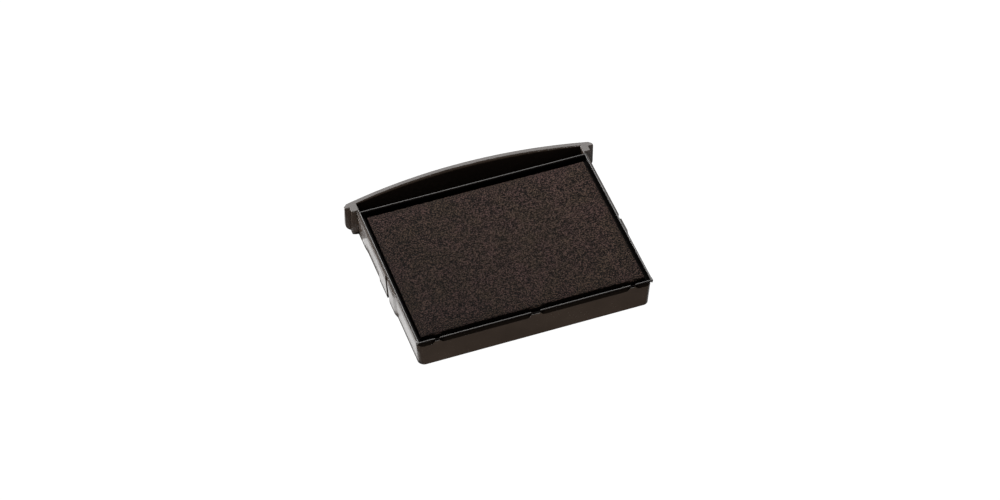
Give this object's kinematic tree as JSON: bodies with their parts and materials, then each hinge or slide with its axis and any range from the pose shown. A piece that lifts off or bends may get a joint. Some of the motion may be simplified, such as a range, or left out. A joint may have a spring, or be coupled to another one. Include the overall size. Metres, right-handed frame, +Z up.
{
  "type": "stamp ink pad cartridge",
  "caption": "Replacement ink pad for a self-inking stamp: a moulded slide-in carrier with a curved finger pull, and a snap-in cup holding a fabric-covered inked core.",
  "frame": {"origin": "on the underside, below the middle of the pad", "axes": "+X across the pad, +Y towards the curved finger pull, so that the cartridge goes into its stamp along -Y, +Z up out of the pad's inked face"},
  "size_m": [0.0818, 0.066, 0.0106],
  "materials": {
    "carrier_plastic": "black moulded polystyrene, satin gloss",
    "cup_plastic": "black moulded polystyrene, thin-walled, satin gloss",
    "adhesive": "double-sided adhesive film",
    "inked_foam": "open-cell foam soaked with ink",
    "inked_felt": "dense felt soaked with ink",
    "inked_fabric": "velvety inked textile, brown-black"
  },
  "bodies": {
    "carrier": {"carrier_tray": "carrier_plastic"},
    "pad_insert": {"pad_cup": "cup_plastic", "adhesive_sheet": "adhesive", "foam_reservoir": "inked_foam", "transfer_felt": "inked_felt", "fabric_cover": "inked_fabric"}
  },
  "joints": [
    {"name": "insert_lift", "type": "slide", "parent": "carrier", "child": "pad_insert", "axis": [0, 0, 1], "range_m": [0, 0.015]}
  ]
}
